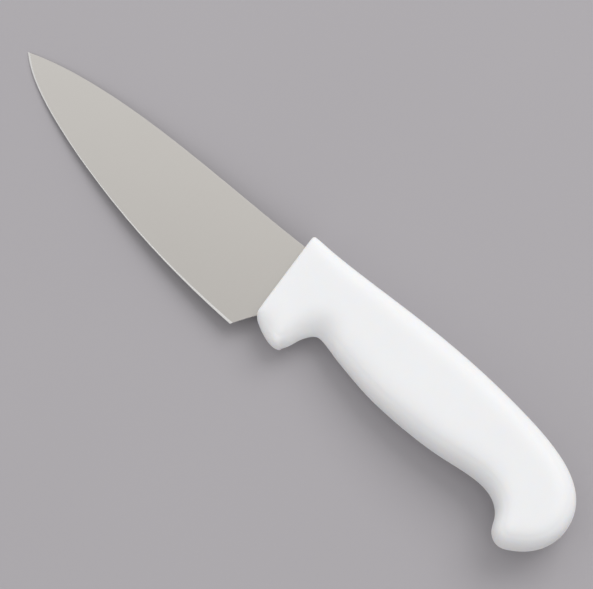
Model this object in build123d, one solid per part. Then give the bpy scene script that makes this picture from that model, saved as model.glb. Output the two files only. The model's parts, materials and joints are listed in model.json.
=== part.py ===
from build123d import *

import math
import os

import numpy as np

# A chef knife with a stamped steel blade and a handle moulded around its tang.
#
# Everything is drawn on the knife's own middle plane, in millimetres:
#   X runs from the tip to the butt, with 0 just ahead of the handle's front,
#   Y runs up to the spine, with 0 just above the top of the handle,
#   Z is across the thickness, with 0 on the middle plane.
# The finished pieces are then laid on their side, resting on the blade's tip and the handle's cheek.

# ---------------------------------------------------------------- blade

TIP = (-128.3, -9.9)
HEEL = (-3.3, -43.2)
SPINE_AT_HANDLE = (0.0, -5.0)
SPINE_POINTS = [SPINE_AT_HANDLE, (-32, -4.0), (-64, -3.05), (-88, -3.5), (-108, -5.4), (-120, -7.6), TIP]
EDGE_POINTS = [
    TIP, (-124, -13.4), (-112, -20.0), (-96, -26.1), (-72, -33.0), (-48, -38.1), (-24, -41.5), HEEL,
]
CHOIL_MIDDLE = (-0.4, -38.7)      # a point that the rear of the heel bows through
CHOIL_AT_HANDLE = (2.3, -34.8)    # where the rear of the heel goes into the handle

STOCK = 2.0                       # thickness of the sheet that the blade is stamped from
SPINE_HALF = 0.90                 # half the ground thickness, at the spine beside the handle
HEEL_HALF = 0.25                  # just above the bevel, at the heel
TIP_HALF = 0.22                   # at the tip
SPINE_EASE = 0.18                 # radius on the two long corners of the spine
LONG_EDGE = 100.0                 # those two corners are the only edges of the spine longer than this

BEVEL_ANGLE = 17.0                # the sharpened bevel, from the middle plane to each side
BEVEL_REACH = 0.6                 # half height of the groove that cuts the bevels
BLANK_MARGIN = 1.0                # metal outside the cutting edge, removed by that groove
GROOVE_MARGIN = 3.0               # how far the groove reaches outside the cutting edge
EXTENSION = 4.0                   # how far the groove runs on past the tip and the heel
EDGE_STATIONS = [0.0, 0.03, 0.07, 0.13, 0.2, 0.3, 0.4, 0.5, 0.6, 0.7, 0.8, 0.9, 1.0]
TIP_RUN_ON = 1.5                  # how far the blank's spine and choil lines run on, past the tip
CHOIL_RUN_ON = 5.0                # and into the handle

# ---------------------------------------------------------------- tang

TANG_TOP = -9.0
TANG_BOTTOM = -23.0
# From below the shoulder, round the tang's end, to the shoulder's top. The blade keeps its full
# height for the first 6 mm inside the handle.
TANG_OUTLINE = [(8, TANG_BOTTOM), (86, TANG_BOTTOM), (86, TANG_TOP), (9, TANG_TOP), (6, -5.2)]
TANG_CORNERS = [2.0, 4.0, 4.0, 3.0]
TANG_STEP = 0.05                  # the tang is thinner by this on each side, so the flank ends at the handle
ANCHOR_HOLES = (24.0, 48.0, 72.0)
ANCHOR_RADIUS = 3.0

# ---------------------------------------------------------------- handle

# The outline from above the front, round the butt, to below the front. It starts and ends 2 mm ahead,
# and the flat front is cut afterwards. The third value of each point is how far in from the outline the
# rounding reaches there.
HANDLE_OUTLINE = [
    (-2, -0.3, 2.6), (3, -0.35, 2.6), (8, -0.5, 4.0), (24, -0.85, 5.5), (48, -1.0, 7.0), (72, -2.05, 7.5),
    (96, -4.85, 8.0), (112, -8.3, 8.5), (122, -12.5, 8.5), (128.7, -18.45, 8.5), (131.8, -28.0, 8.0),
    (130.1, -35.8, 8.0), (126.1, -41.35, 8.5), (121.3, -44.9, 8.5), (116.6, -46.35, 8.0),
    (112.3, -44.1, 7.5), (110.0, -39.1, 7.5), (104.6, -34.55, 9.0), (96, -33.2, 10.5), (84, -34.2, 12.0),
    (72, -34.7, 13.0), (60, -34.3, 13.0), (48, -33.0, 13.0), (40, -31.4, 13.0), (33, -29.8, 12.0),
    (27.5, -28.3, 10.0), (23.5, -28.1, 8.5), (20.9, -30.1, 7.0), (18.9, -33.5, 5.0), (17.6, -36.7, 4.0),
    (15.6, -39.3, 3.6), (12.6, -40.0, 3.6), (7.2, -38.5, 3.2), (3.6, -36.4, 2.4), (0.8, -34.4, 2.2),
    (-2, -32.3, 2.2),
]
FRONT_TOP = (0.45, 0.0)           # the flat front goes through these two points and leans back below
FRONT_BOTTOM = (2.6, -35.0)
FRONT_RIM = 0.8                   # radius around the flat front
# The index finger's scoop: its line along the outline, and how far in from there it reaches.
SCOOP = [
    (16.2, -38.8, 3.5), (17.6, -36.7, 5.0), (18.9, -33.5, 7.0), (20.9, -30.1, 10.0), (23.5, -28.1, 12.0),
    (27.5, -28.3, 12.0), (33, -29.8, 8.0), (38, -30.9, 4.0),
]
SCOOP_POWER = 0.45                # how steeply the scoop falls: 1 is a straight slope, less is rounder
# Half the thickness between the cheeks, along the handle.
CHEEK_HALF = [(0, 6.5), (20, 7.5), (40, 8.6), (66, 9.9), (85, 10.4), (104, 10.3), (132, 9.6)]
ROUNDING_POWER = 2.3              # 2 rounds the sides as an ellipse, more is squarer
OUTLINE_SAMPLES = 3000
CHEEK_SAMPLES = 400
SECTION_POINTS = 21               # points down one side of a cross-section
SECTION_STATIONS = [
    -2, 0.5, 3, 6, 9, 11.5, 13.5, 15.3, 16.8, 18, 19.2, 20.4, 21.7, 23.5, 26, 29.5, 34, 41, 49, 57, 65, 73,
    81, 89, 96, 101, 105, 107.6, 109.4, 110.7, 111.8, 113, 114.6, 116.8, 119.4, 122, 124.4, 126.6, 128.4,
    129.8, 130.8, 131.4, 131.7, 131.79,
]


def flank_plane(side, lift=0.0):
    """The plane of one ground flank, from its height at the spine, the heel and the tip."""
    at_spine = Vector(*SPINE_AT_HANDLE, side * (SPINE_HALF + lift))
    at_heel = Vector(*HEEL, side * (HEEL_HALF + lift))
    at_tip = Vector(*TIP, side * (TIP_HALF + lift))
    normal = (at_tip - at_spine).cross(at_heel - at_spine)
    return Plane(origin=at_spine, z_dir=normal if normal.Z * side > 0 else -normal)


def grind(blank, lift=0.0):
    """The blank with both flanks ground down to their planes."""
    for side in (1, -1):
        blank = split(blank, bisect_by=flank_plane(side, lift), keep=Keep.BOTTOM)
    return blank


def edge_frames():
    """Points along the cutting edge with the direction into the blade, running on past both ends."""
    line = Spline(*EDGE_POINTS)
    frames = []
    for station in EDGE_STATIONS:
        along = line % station
        frames.append((line @ station, Vector(-along.Y, along.X)))
    before = line @ 0 - (line % 0) * EXTENSION
    after = line @ 1 + (line % 1) * EXTENSION
    return [(before, frames[0][1])] + frames + [(after, frames[-1][1])]


def bevel_groove():
    """A V groove with its root on the cutting edge, which sharpens both sides of the blank."""
    depth = BEVEL_REACH / math.tan(math.radians(BEVEL_ANGLE))
    up = Vector(0, 0, BEVEL_REACH)
    profiles = []
    for root, inward in edge_frames():
        inner = root + inward * depth
        outer = root - inward * GROOVE_MARGIN
        profile = Polyline(root, inner + up, outer + up, outer - up, inner - up, close=True)
        profiles.append(Wire(profile.edges()))
    return Solid.make_loft(profiles)


def blank_outline():
    """Blade and tang as stamped, with a margin outside the cutting edge."""
    outside_edge = [root - inward * BLANK_MARGIN for root, inward in edge_frames()[1:-1]]
    spine = Spline(*SPINE_POINTS)
    edge = Spline(*outside_edge)
    choil = ThreePointArc(HEEL, CHOIL_MIDDLE, CHOIL_AT_HANDLE)
    past_tip = Line(spine @ 1, spine @ 1 + (spine % 1) * TIP_RUN_ON)
    nose = Line(past_tip @ 1, edge @ 0)
    heel = Line(edge @ 1, choil @ 0)
    inside_handle = Line(choil @ 1, choil @ 1 + (choil % 1) * CHOIL_RUN_ON)
    tang_line = FilletPolyline(inside_handle @ 1, *TANG_OUTLINE, radius=TANG_CORNERS)
    shoulder = Line(tang_line @ 1, spine @ 0)
    return make_face([spine, past_tip, nose, edge, heel, choil, inside_handle, tang_line, shoulder])


def blank():
    """The stamped blank, as thick as the sheet."""
    return extrude(Pos(0, 0, -STOCK / 2) * blank_outline(), STOCK)


def sampled(points):
    """Close points on the smooth curve through a few, as an array."""
    curve = Spline(*points)
    return np.array([tuple(point) for point in curve.positions(np.linspace(0, 1, OUTLINE_SAMPLES))])


def handle_lines():
    """The outline above and below the handle, front to butt, as arrays of x, y and rounding reach."""
    around = sampled(HANDLE_OUTLINE)
    butt = np.argmax(around[:, 0])
    return around[: butt + 1], around[butt:][::-1]


def cheek_line():
    """Points on the smooth curve of half the handle's thickness, as an array of x and half thickness."""
    curve = Spline(*CHEEK_HALF)
    return np.array([(point.X, point.Y) for point in curve.positions(np.linspace(0, 1, CHEEK_SAMPLES))])


def cheek_half(x):
    """Half the handle's thickness at x."""
    line = cheek_line()
    return float(np.interp(x, line[:, 0], line[:, 1]))


def inside_share(x, y, line):
    """How far a point is in from a line, from 0 on it to 1 where the line's reach ends."""
    return min(np.min(np.hypot(line[:, 0] - x, line[:, 1] - y) / line[:, 2]), 1.0)


def cheek_height(x, y, outline, scoop):
    """Height of the handle's surface above the middle plane."""
    rounded = (1 - (1 - inside_share(x, y, outline)) ** ROUNDING_POWER) ** (1 / ROUNDING_POWER)
    scooped = inside_share(x, y, scoop) ** SCOOP_POWER
    return cheek_half(x) * min(rounded, scooped)


def handle_section(x, top, bottom, scoop):
    """One closed cross-section of the handle, as y and z going round it."""
    outline = np.vstack([top, bottom])
    high = np.interp(x, top[:, 0], top[:, 1])
    low = np.interp(x, bottom[:, 0], bottom[:, 1])
    turns = np.linspace(0, math.pi, SECTION_POINTS)
    down = high + (low - high) * (1 - np.cos(turns)) / 2
    across = np.array([cheek_height(x, y, outline, scoop) for y in down])
    across[[0, -1]] = 0
    near = np.column_stack([down, across])
    far = np.column_stack([down, -across])[-2:0:-1]
    return np.vstack([near, far])


def front_plane():
    """The plane of the handle's flat front, facing the blade."""
    down = Vector(*FRONT_BOTTOM) - Vector(*FRONT_TOP)
    return Plane(origin=Vector(*FRONT_TOP), z_dir=down.cross(Vector(0, 0, 1)))


def handle_body():
    """The handle before the tang's space is taken out of it."""
    top, bottom = handle_lines()
    scoop = sampled(SCOOP)
    sections = []
    for x in SECTION_STATIONS:
        ring = handle_section(x, top, bottom, scoop)
        sections.append(Wire([Spline(*[(x, y, z) for y, z in ring.tolist()], periodic=True)]))
    body = split(Solid.make_loft(sections), bisect_by=front_plane(), keep=Keep.BOTTOM)
    front = body.faces().sort_by(Axis.X)[0]
    return fillet(front.edges(), FRONT_RIM)


def spine_corners(blade):
    """The two long edges of the spine, in front of the handle."""
    facing_up = blade.faces().filter_by(lambda face: face.normal_at().Y > 0.9 and face.center().X < 0)
    spine = facing_up.sort_by(SortBy.AREA)[-1]
    return [edge for edge in spine.edges() if edge.length > LONG_EDGE]


def exposed_blade(body):
    """The ground and sharpened blade, as far as the handle, with its spine eased."""
    blade = grind(blank()) - bevel_groove()
    return fillet(spine_corners(blade), SPINE_EASE) - body


def tang(body):
    """The part of the blank inside the handle, with the anchor holes that the plastic fills."""
    steel = grind(blank(), lift=-TANG_STEP) & body
    middle = (TANG_TOP + TANG_BOTTOM) / 2
    for x in ANCHOR_HOLES:
        steel -= Pos(x, middle, 0) * Cylinder(ANCHOR_RADIUS, 2 * STOCK)
    return steel


def rest_tilt():
    """The angle at which the knife lies on its tip and on its cheek, in degrees."""
    line = cheek_line()
    slopes = (line[:, 1] - TIP_HALF) / (line[:, 0] - TIP[0])
    return math.degrees(math.atan(slopes.max()))


def lay_down(pieces):
    """The pieces on their side on Z = 0, with the middle of their box over the origin."""
    tilted = [Rot(0, -rest_tilt(), 0) * piece for piece in pieces]
    box = tilted[0].bounding_box().add(tilted[1].bounding_box())
    middle = box.center()
    return [Pos(-middle.X, -middle.Y, -box.min.Z) * piece for piece in tilted]


def main():
    body = handle_body()
    hidden = tang(body)
    blade = exposed_blade(body) + hidden
    handle = body - hidden
    os.makedirs("parts", exist_ok=True)
    for name, piece in zip(("blade", "handle"), lay_down([blade, handle])):
        export_step(piece, f"parts/{name}.step")


main()
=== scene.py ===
import json
import math

import bpy
import numpy as np
from mathutils import Matrix, Vector


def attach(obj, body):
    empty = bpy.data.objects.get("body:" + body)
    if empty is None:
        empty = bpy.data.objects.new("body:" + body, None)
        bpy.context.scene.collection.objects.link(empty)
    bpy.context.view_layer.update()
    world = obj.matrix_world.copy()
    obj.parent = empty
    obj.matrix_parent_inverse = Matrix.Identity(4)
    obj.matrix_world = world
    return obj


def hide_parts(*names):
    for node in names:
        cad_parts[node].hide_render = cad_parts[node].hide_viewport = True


# A chef knife lying on a plain grey floor: the CAD blade with a satin steel finish, and a new
# white handle in place of the CAD one. The handle is drawn in millimetres on the knife's own
# middle plane, with x from the handle's flat front to its butt, y up to the spine and z across
# the thickness. It is then laid down as the CAD knife lies, by the two mounts on the flanks.

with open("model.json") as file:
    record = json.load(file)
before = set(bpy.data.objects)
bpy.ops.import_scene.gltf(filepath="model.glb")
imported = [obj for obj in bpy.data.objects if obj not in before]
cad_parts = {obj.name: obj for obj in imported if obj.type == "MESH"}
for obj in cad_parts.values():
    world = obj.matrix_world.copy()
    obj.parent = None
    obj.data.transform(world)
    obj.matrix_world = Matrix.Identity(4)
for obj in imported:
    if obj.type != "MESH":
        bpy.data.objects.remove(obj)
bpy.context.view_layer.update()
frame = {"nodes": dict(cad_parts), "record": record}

MM = 0.001
MIDDLE_OF_FLANKS = (-50.751, -19.797, 0.0)    # the point midway between those mounts, on that plane

# ---------------------------------------------------------------- handle shape

# The outline from the top of the flat front, round the butt, to the bottom of the front. The third
# value of each point is how far in from the outline the rounding reaches there.
HANDLE_OUTLINE = [
    (0.47, -0.35, 2.6), (3, -0.45, 2.6), (8, -0.7, 4.0), (24, -1.1, 5.5), (48, -1.2, 7.0), (72, -2.3, 7.5),
    (96, -5.1, 8.0), (112, -8.45, 8.5), (122, -12.6, 8.5), (128.6, -18.45, 8.5), (131.75, -28.0, 8.0),
    (130.05, -35.7, 8.0), (126.0, -41.2, 8.5), (121.2, -44.65, 8.5), (116.7, -46.1, 8.0),
    (112.5, -43.95, 7.5), (110.15, -39.1, 7.5), (104.7, -34.3, 9.0), (96, -32.95, 9.5), (84, -34.0, 10.5),
    (72, -34.5, 11.0), (60, -34.1, 11.0), (48, -32.8, 11.0), (40, -31.2, 11.5), (33, -29.6, 11.5),
    (27.5, -28.2, 10.0), (23.6, -28.0, 8.5), (21.1, -30.2, 7.0), (19.2, -33.6, 6.0), (17.8, -37.0, 6.0),
    (15.9, -39.4, 6.5), (14.6, -40.0, 7.5), (12.6, -40.1, 9.0), (8.0, -38.75, 12.0), (4.8, -37.1, 8.0),
    (2.64, -35.7, 2.5),
]
FRONT_RIM = 0.9                # radius around the flat front
# The index finger's scoop: its line along the outline, and how far in from there it reaches.
SCOOP = [
    (16.6, -38.8, 5.0), (17.8, -37.0, 6.2), (19.2, -33.6, 7.8), (21.1, -30.2, 9.8), (23.6, -28.05, 11.0),
    (27.5, -28.3, 8.0), (32.0, -29.5, 4.0),
]
SCOOP_POWER = 2.0              # how the scoop rises: 1 is a straight slope, more is fuller
SCOOP_ROUNDING = 1.35          # how it starts at the outline: 1 is a sharp ridge, more is rounder
# Half the thickness between the cheeks, along the handle.
CHEEK_HALF = [(0, 6.5), (20, 7.5), (40, 8.6), (66, 9.9), (85, 10.4), (104, 10.3), (132, 9.6)]
ROUNDING_POWER = 2.8           # 2 rounds the sides as an ellipse, more is squarer
CREST_SOFTNESS = 2.2           # radius of the circle over which the surface's height is averaged
SOFT_SHARE = 0.7               # that radius stays under this share of the distance to the outline
SOFTENING_POINTS = 12          # points on that circle

OUTLINE_SAMPLES = 420
CHEEK_SAMPLES = 300
SCOOP_SAMPLES = 40
RUNGS = 440                    # lines across the handle, from behind the front to the butt
RUNG_POINTS = 88               # points on each of those lines
FRONT_SHARE = 0.025            # the share of the handle's length that gets lines of its own in front
FRONT_RUNGS = 18               # those lines, closest together at the front's rim
CAP_SUPPORT = 0.2              # how far inside the rim's edge the cap of the flat front starts


def smooth_curve(points, samples):
    """A natural cubic spline through the points, spaced by distance, as an array of samples."""
    points = np.array(points, float)
    steps = np.linalg.norm(np.diff(points[:, :2], axis=0), axis=1)
    at = np.concatenate([[0], np.cumsum(steps)])
    count = len(points)
    matrix = np.eye(count)
    right = np.zeros_like(points)
    for i in range(1, count - 1):
        matrix[i, i - 1 : i + 2] = steps[i - 1], 2 * (steps[i - 1] + steps[i]), steps[i]
        right[i] = 6 * ((points[i + 1] - points[i]) / steps[i] - (points[i] - points[i - 1]) / steps[i - 1])
    bend = np.linalg.solve(matrix, right)
    where = np.linspace(0, at[-1], samples)
    piece = np.clip(np.searchsorted(at, where, side="right") - 1, 0, count - 2)
    width = steps[piece][:, None]
    after = (where - at[piece])[:, None] / width
    before = 1 - after
    curve = points[piece] * before + points[piece + 1] * after
    curve += width**2 / 6 * ((before**3 - before) * bend[piece] + (after**3 - after) * bend[piece + 1])
    return curve


def placed(line, shares):
    """Points at those shares of a line's length, with its third value carried along."""
    steps = np.linalg.norm(np.diff(line[:, :2], axis=0), axis=1)
    at = np.concatenate([[0], np.cumsum(steps)]) / steps.sum()
    return np.column_stack([np.interp(shares, at, line[:, k]) for k in range(line.shape[1])])


def nearest_share(points, line):
    """Each point's distance from a line, as a share of the line's reach there."""
    nearest = np.full(len(points), np.inf)
    for start, step in zip(line, np.diff(line, axis=0)):
        along = np.clip((points - start[:2]) @ step[:2] / (step[:2] @ step[:2]), 0, 1)
        aside = np.hypot(*(points - start[:2] - along[:, None] * step[:2]).T)
        nearest = np.minimum(nearest, aside / (start[2] + along * step[2]))
    return nearest


def distance_from(points, line):
    """Each point's distance from a line, in millimetres."""
    return nearest_share(points, np.column_stack([line[:, :2], np.ones(len(line))]))


def inside_share(points, line):
    """How far each point is in from a line, from 0 on it to 1 where the line's reach ends."""
    return np.minimum(nearest_share(points, line), 1.0)


def crisp_height(points, outline, scoop):
    """The share of the cheek's height at each point, before its crests are softened."""
    inside = inside_share(points, outline)
    rounded = (1 - (1 - inside) ** ROUNDING_POWER) ** (1 / ROUNDING_POWER)
    scooped = (1 - (1 - inside_share(points, scoop)) ** SCOOP_POWER) ** (1 / SCOOP_ROUNDING)
    return np.minimum(rounded, scooped)


def surface_height(points, outline, scoop, cheek):
    """Height of the handle's surface over each point of its middle plane."""
    share = crisp_height(points, outline, scoop)
    softness = np.minimum(CREST_SOFTNESS, SOFT_SHARE * distance_from(points, outline))[:, None]
    for turn in np.linspace(0, 2 * math.pi, SOFTENING_POINTS, endpoint=False):
        beside = points + softness * [math.cos(turn), math.sin(turn)]
        share = share + crisp_height(beside, outline, scoop)
    share /= 1 + SOFTENING_POINTS
    return np.interp(points[:, 0], cheek[:, 0], cheek[:, 1]) * share


def front_inset(behind):
    """How far the rounded rim of the flat front pulls the surface in, at a distance behind the front."""
    before_flat = np.clip(FRONT_RIM - behind, 0, FRONT_RIM)
    return FRONT_RIM - np.sqrt(FRONT_RIM**2 - before_flat**2)


def pulled_in(rings, distance):
    """Rings moved inwards across the handle by a distance given for each point."""
    along = np.roll(rings, -1, axis=1) - np.roll(rings, 1, axis=1)
    inward = np.stack([np.zeros(rings.shape[:2]), -along[:, :, 2], along[:, :, 1]], axis=2)
    inward /= np.linalg.norm(inward, axis=2, keepdims=True)
    return rings + inward * distance[:, :, None]


def handle_rungs(around, butt):
    """Rows of points across the middle plane, from the handle's front to its butt."""
    front = FRONT_SHARE * np.linspace(0, 1, FRONT_RUNGS, endpoint=False) ** 2
    shares = np.concatenate([front, np.linspace(FRONT_SHARE, 1, RUNGS, endpoint=False)])
    top = placed(around[: butt + 1], shares)[:, :2]
    bottom = placed(around[butt:][::-1], shares)[:, :2]
    across = (1 - np.cos(np.linspace(0, math.pi, RUNG_POINTS))) / 2
    return top[:, None] + (bottom - top)[:, None] * across[None, :, None]


def handle_rings():
    """Closed rings from the handle's front to its butt, and the point where they end."""
    around = smooth_curve(HANDLE_OUTLINE, OUTLINE_SAMPLES)
    scoop = smooth_curve(SCOOP, SCOOP_SAMPLES)
    cheek = smooth_curve(CHEEK_HALF, CHEEK_SAMPLES)
    butt = np.argmax(around[:, 0])
    flat = handle_rungs(around, butt)
    height = surface_height(flat.reshape(-1, 2), around, scoop, cheek).reshape(flat.shape[:2])
    height[:, [0, -1]] = 0
    near = np.concatenate([flat, height[:, :, None]], axis=2)
    far = np.concatenate([flat, -height[:, :, None]], axis=2)[:, -2:0:-1]
    rings = np.concatenate([near, far], axis=1)
    rings = pulled_in(rings, front_inset(rings[:, :, 0] - rings[0, :, 0]))
    return rings, around[butt, :2]


def ring_mesh(name, rings, pole):
    """A closed mesh through the rings, with a flat cap in front and one last vertex at the pole."""
    cap = pulled_in(rings[:1], np.full((1, rings.shape[1]), CAP_SUPPORT))
    rings = np.concatenate([cap, rings])
    count, around = rings.shape[:2]
    points = np.vstack([rings.reshape(-1, 3), [pole[0], pole[1], 0]])
    faces = [tuple(reversed(range(around)))]
    for ring in range(count - 1):
        for k in range(around):
            here = ring * around
            after = (k + 1) % around
            faces.append((here + k, here + after, here + around + after, here + around + k))
    last = (count - 1) * around
    faces += [(last + k, last + (k + 1) % around, count * around) for k in range(around)]
    mesh = bpy.data.meshes.new(name)
    mesh.from_pydata(points.tolist(), [], faces)
    mesh.polygons.foreach_set("use_smooth", [True] * len(faces))
    mesh.update()
    return mesh


def lie_down(mesh):
    """Moves a mesh from the knife's own plane to where the CAD knife lies."""
    upper, lower = frame["record"]["mounts"]
    across = Vector(upper["axis"]) - Vector(lower["axis"])
    between = (Vector(upper["pos_m"]) + Vector(lower["pos_m"])) / 2
    mesh.transform(Matrix.Translation(-Vector(MIDDLE_OF_FLANKS)))
    mesh.transform(Matrix.Scale(MM, 4))
    mesh.transform(Matrix.Rotation(math.atan2(across.x, across.z), 4, "Y"))
    mesh.transform(Matrix.Translation(between))


def build_handle():
    """The white handle, moulded in one piece around the tang."""
    mesh = ring_mesh("handle_moulding", *handle_rings())
    lie_down(mesh)
    handle = bpy.data.objects.new("handle_moulding", mesh)
    bpy.context.scene.collection.objects.link(handle)
    return handle


# ---------------------------------------------------------------- node helpers


def new_material(name):
    """A material with only its output and its Principled shader."""
    material = bpy.data.materials.new(name)
    material.use_nodes = True
    shader = material.node_tree.nodes["Principled BSDF"]
    return material, material.node_tree, shader


def add(tree, kind, **settings):
    """A node, with its properties and unlinked inputs set by name."""
    node = tree.nodes.new(kind)
    for key, value in settings.items():
        if key in node.inputs:
            node.inputs[key].default_value = value
        else:
            setattr(node, key, value)
    return node


def object_coordinates(tree, scale=(1, 1, 1)):
    """The object's own coordinates, in metres, stretched by a scale for each axis."""
    source = add(tree, "ShaderNodeTexCoord")
    stretch = add(tree, "ShaderNodeMapping")
    stretch.inputs["Scale"].default_value = scale
    tree.links.new(source.outputs["Object"], stretch.inputs["Vector"])
    return stretch.outputs["Vector"]


def noise(tree, where, scale, detail=2.0, roughness=0.5):
    """A noise texture's value, from 0 to 1."""
    node = add(tree, "ShaderNodeTexNoise", Scale=scale, Detail=detail, Roughness=roughness)
    tree.links.new(where, node.inputs["Vector"])
    return node.outputs["Fac"]


def span(tree, value, low, high, start=0.0, end=1.0):
    """A value from start to end, turned into one from low to high."""
    node = add(tree, "ShaderNodeMapRange")
    node.inputs["From Min"].default_value = start
    node.inputs["From Max"].default_value = end
    node.inputs["To Min"].default_value = low
    node.inputs["To Max"].default_value = high
    tree.links.new(value, node.inputs["Value"])
    return node.outputs["Result"]


def blend_colours(tree, amount, first, second):
    """A colour between two, by an amount from 0 to 1. Either may be a colour or a socket."""
    node = add(tree, "ShaderNodeMix", data_type="RGBA")
    for socket, colour in ((node.inputs[6], first), (node.inputs[7], second)):
        if isinstance(colour, bpy.types.NodeSocket):
            tree.links.new(colour, socket)
        else:
            socket.default_value = (*colour, 1)
    tree.links.new(amount, node.inputs[0])
    return node.outputs[2]


def bump(tree, height, strength, distance):
    """The normal over a fine relief made from a height, with its distance in metres."""
    node = add(tree, "ShaderNodeBump", Strength=strength, Distance=distance)
    tree.links.new(height, node.inputs["Height"])
    return node.outputs["Normal"]


def math_of(tree, operation, first, second=None):
    """The result of a math node on sockets or numbers."""
    node = add(tree, "ShaderNodeMath", operation=operation)
    for socket, value in zip(node.inputs, (first, second)):
        if isinstance(value, bpy.types.NodeSocket):
            tree.links.new(value, socket)
        elif value is not None:
            socket.default_value = value
    return node.outputs[0]


def set_values(shader, values):
    """Sets the shader's own sockets that are the same all over the surface."""
    for name, value in values.items():
        shader.inputs[name].default_value = value


# ---------------------------------------------------------------- materials

NOISE_RANGE = 0.3, 0.7             # most of a noise's values lie between these

FLANK_COLOURS = (0.556, 0.536, 0.508), (0.592, 0.572, 0.544)
# Painted shade: the flank's colour is darkened towards the handle, where the key light's reflection falls
# brighter.
HANDLE_END_PAINTED_SHADE = (0.468, 0.449, 0.424)
HANDLE_END_SHADE_SHARE = 0.8             # how much of that painted shade the flank has where it meets the handle
PAINTED_SHADE_SPAN = -0.13, 0.0             # where the painted shade grows, from the blade's tip to the handle, along X
# The bevel's steel colour, lightened with a painted highlight where the bevel catches the light.
BEVEL_STEEL_WITH_HIGHLIGHT = (0.95, 0.94, 0.92)
FLANK_ROUGHNESS = 0.42, 0.50
BEVEL_ROUGHNESS = 0.30
GRINDING_STRETCH = (1, 0.03, 0.03)    # so that the grinding lines run across the blade
GRINDING_LINES = {"scale": 5200, "detail": 3, "roughness": 0.6}
BROAD_TONES = {"scale": 38, "detail": 3}
GRINDING_RELIEF = {"strength": 0.12, "distance": 0.00002}
FLANK_COSINE = 0.99                # a face is part of a flank if the two normals' cosine is higher
EDGE_SIDE_NORMAL = -0.1            # a face is on the cutting edge's side if its normal's Y is lower
STEEL_VALUES = {"Metallic": 1.0}

PLASTIC_COLOURS = (0.865, 0.87, 0.885), (0.885, 0.89, 0.90)
PLASTIC_ROUGHNESS = 0.58, 0.64
PLASTIC_CLOUD = {"scale": 30, "detail": 3}
PLASTIC_GRAIN = {"scale": 2600, "detail": 2}
PLASTIC_RELIEF = {"strength": 0.08, "distance": 0.00002}
PLASTIC_VALUES = {
    "Subsurface Weight": 1.0,
    "Subsurface Radius": (1.0, 0.9, 0.8),
    "Subsurface Scale": 0.004,
    "IOR": 1.49,
    "Specular IOR Level": 0.2,
}

FLOOR_COLOURS = (0.408, 0.391, 0.410), (0.428, 0.411, 0.430)
FLOOR_CLOUD = {"scale": 6, "detail": 2}
FLOOR_VALUES = {"Roughness": 0.9, "Specular IOR Level": 0.2}


def steel_material():
    """Satin ground stainless steel: fine lines across the flanks, painted shade towards the handle, and a
    painted highlight in the sharpened bevel's colour.
    """
    material, tree, shader = new_material("satin_blade_steel")
    lines = noise(tree, object_coordinates(tree, GRINDING_STRETCH), **GRINDING_LINES)
    bevel = bevel_mask(tree)
    # The bevel gets its colour with a painted highlight in it.
    colour = blend_colours(tree, bevel, flank_colour(tree, lines), BEVEL_STEEL_WITH_HIGHLIGHT)
    tree.links.new(colour, shader.inputs["Base Color"])
    tree.links.new(steel_roughness(tree, lines, bevel), shader.inputs["Roughness"])
    tree.links.new(bump(tree, lines, **GRINDING_RELIEF), shader.inputs["Normal"])
    set_values(shader, STEEL_VALUES)
    return material


def flank_colour(tree, lines):
    """The ground steel's colour, with painted shade that darkens it towards the handle."""
    broad = noise(tree, object_coordinates(tree), **BROAD_TONES)
    steel = blend_colours(tree, math_of(tree, "MULTIPLY", lines, broad), *FLANK_COLOURS)
    # Painted shade darkens the steel towards the handle.
    return blend_colours(tree, shade_towards_handle(tree), steel, HANDLE_END_PAINTED_SHADE)


def shade_towards_handle(tree):
    """The share of painted shade: 0 at the blade's tip, rising evenly to where it meets the handle."""
    place = add(tree, "ShaderNodeSeparateXYZ")
    tree.links.new(object_coordinates(tree), place.inputs[0])
    return span(tree, place.outputs["X"], 0.0, HANDLE_END_SHADE_SHARE, *PAINTED_SHADE_SPAN)


def steel_roughness(tree, lines, bevel):
    """Rougher on the satin flanks than on the sharpened bevels."""
    satin = span(tree, lines, *FLANK_ROUGHNESS, *NOISE_RANGE)
    polish = math_of(tree, "MULTIPLY", bevel, BEVEL_ROUGHNESS - FLANK_ROUGHNESS[1])
    return math_of(tree, "ADD", satin, polish)


def bevel_mask(tree):
    """1 on the sharpened bevels, found by how far they turn from the flanks, and 0 elsewhere."""
    geometry = add(tree, "ShaderNodeNewGeometry")
    facing = []
    for mount in frame["record"]["mounts"]:
        dot = add(tree, "ShaderNodeVectorMath", operation="DOT_PRODUCT")
        dot.inputs[1].default_value = mount["axis"]
        tree.links.new(geometry.outputs["True Normal"], dot.inputs[0])
        facing.append(math_of(tree, "ABSOLUTE", dot.outputs["Value"]))
    nearest = math_of(tree, "MAXIMUM", *facing)
    normal = add(tree, "ShaderNodeSeparateXYZ")
    tree.links.new(geometry.outputs["True Normal"], normal.inputs[0])
    off_flank = math_of(tree, "LESS_THAN", nearest, FLANK_COSINE)
    towards_edge = math_of(tree, "LESS_THAN", normal.outputs["Y"], EDGE_SIDE_NORMAL)
    return math_of(tree, "MULTIPLY", off_flank, towards_edge)


def plastic_material():
    """Smooth white moulded polypropylene with a soft gloss."""
    material, tree, shader = new_material("white_handle_plastic")
    cloud = noise(tree, object_coordinates(tree), **PLASTIC_CLOUD)
    grain = noise(tree, object_coordinates(tree), **PLASTIC_GRAIN)
    rough = span(tree, cloud, *PLASTIC_ROUGHNESS, *NOISE_RANGE)
    tree.links.new(blend_colours(tree, cloud, *PLASTIC_COLOURS), shader.inputs["Base Color"])
    tree.links.new(rough, shader.inputs["Roughness"])
    tree.links.new(bump(tree, grain, **PLASTIC_RELIEF), shader.inputs["Normal"])
    set_values(shader, PLASTIC_VALUES)
    return material


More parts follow.
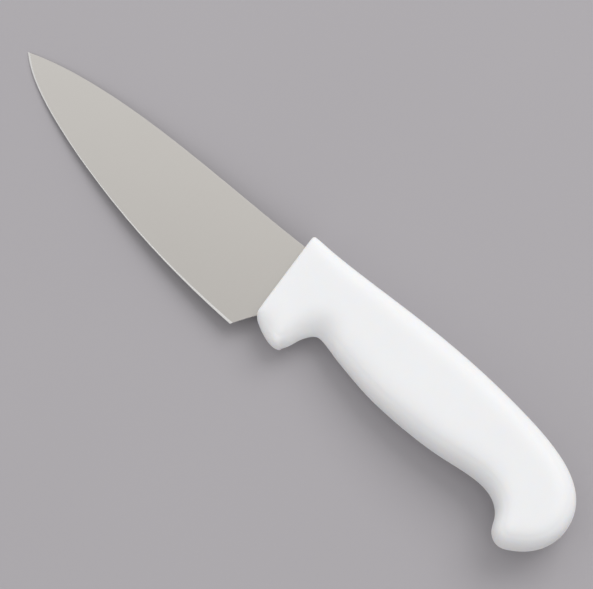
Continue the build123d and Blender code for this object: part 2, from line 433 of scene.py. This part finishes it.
def floor_material():
    """A matt grey card."""
    material, tree, shader = new_material("grey_card")
    cloud = noise(tree, object_coordinates(tree), **FLOOR_CLOUD)
    tree.links.new(blend_colours(tree, cloud, *FLOOR_COLOURS), shader.inputs["Base Color"])
    set_values(shader, FLOOR_VALUES)
    return material


def finish_with(piece, material):
    """Puts one material on the whole of a piece."""
    piece.data.materials.clear()
    piece.data.materials.append(material)


# ---------------------------------------------------------------- room

# Angles are in degrees, lengths in metres, the lens and its sensor in millimetres, powers in watts.
CAMERA_AZIMUTH = 39.236
CAMERA_ELEVATION = 75.0
CAMERA_DISTANCE = 0.650
CAMERA_AIM = (0.006503, 0.002784, 0.007978)
CAMERA_LENS = 112.393
CAMERA_SENSOR = 36.0
CAMERA_NEAREST = 0.01
FLOOR_SIZE = 6.0
LIGHTS = {
    "key": {"azimuth": 180.0, "elevation": 49.0, "distance": 2.6, "size": 1.8, "power": 27.0},
    "top": {"azimuth": 242.0, "elevation": 45.0, "distance": 2.4, "size": 1.6, "power": 3.4},
    "fill": {"azimuth": 330.0, "elevation": 35.0, "distance": 2.4, "size": 1.2, "power": 3.2},
}
WORLD_STRENGTH = 0.66


def direction(azimuth, elevation):
    """The unit vector to an azimuth, counted from -Y towards +X, and an elevation, in degrees."""
    turn, rise = math.radians(azimuth), math.radians(elevation)
    return Vector((math.sin(turn) * math.cos(rise), -math.cos(turn) * math.cos(rise), math.sin(rise)))


def build_floor():
    """A flat floor that the knife lies on."""
    half = FLOOR_SIZE / 2
    square = [(-half, -half, 0), (half, -half, 0), (half, half, 0), (-half, half, 0)]
    mesh = bpy.data.meshes.new("floor")
    mesh.from_pydata(square, [], [(0, 1, 2, 3)])
    floor = bpy.data.objects.new("floor", mesh)
    bpy.context.scene.collection.objects.link(floor)
    finish_with(floor, floor_material())
    return floor


def build_camera():
    """The camera, high over the knife's edge side."""
    camera = bpy.data.objects.new("camera", bpy.data.cameras.new("camera"))
    bpy.context.scene.collection.objects.link(camera)
    back = direction(CAMERA_AZIMUTH, CAMERA_ELEVATION)
    camera.location = Vector(CAMERA_AIM) + back * CAMERA_DISTANCE
    camera.rotation_euler = (-back).to_track_quat("-Z", "Y").to_euler()
    camera.data.lens = CAMERA_LENS
    camera.data.sensor_width = CAMERA_SENSOR
    camera.data.clip_start = CAMERA_NEAREST
    bpy.context.scene.camera = camera


def build_light(name, azimuth, elevation, distance, size, power):
    """A square soft light that faces the knife."""
    lamp = bpy.data.lights.new(name, "AREA")
    lamp.size = size
    lamp.energy = power
    light = bpy.data.objects.new(name, lamp)
    bpy.context.scene.collection.objects.link(light)
    back = direction(azimuth, elevation)
    light.location = back * distance
    light.rotation_euler = (-back).to_track_quat("-Z", "Y").to_euler()


def build_world():
    """Even soft light from all round."""
    world = bpy.data.worlds.new("room")
    world.use_nodes = True
    background = world.node_tree.nodes["Background"]
    background.inputs["Color"].default_value = (1, 1, 1, 1)
    background.inputs["Strength"].default_value = WORLD_STRENGTH
    bpy.context.scene.world = world


def build_room():
    """Floor, camera and lights."""
    build_floor()
    build_camera()
    build_world()
    for name, light in LIGHTS.items():
        build_light(name, **light)
    bpy.context.scene.view_settings.view_transform = "Standard"


# ---------------------------------------------------------------- the scene


handle = build_handle()
finish_with(handle, plastic_material())
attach(handle, "root")
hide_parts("handle")

finish_with(frame["nodes"]["blade"], steel_material())

build_room()
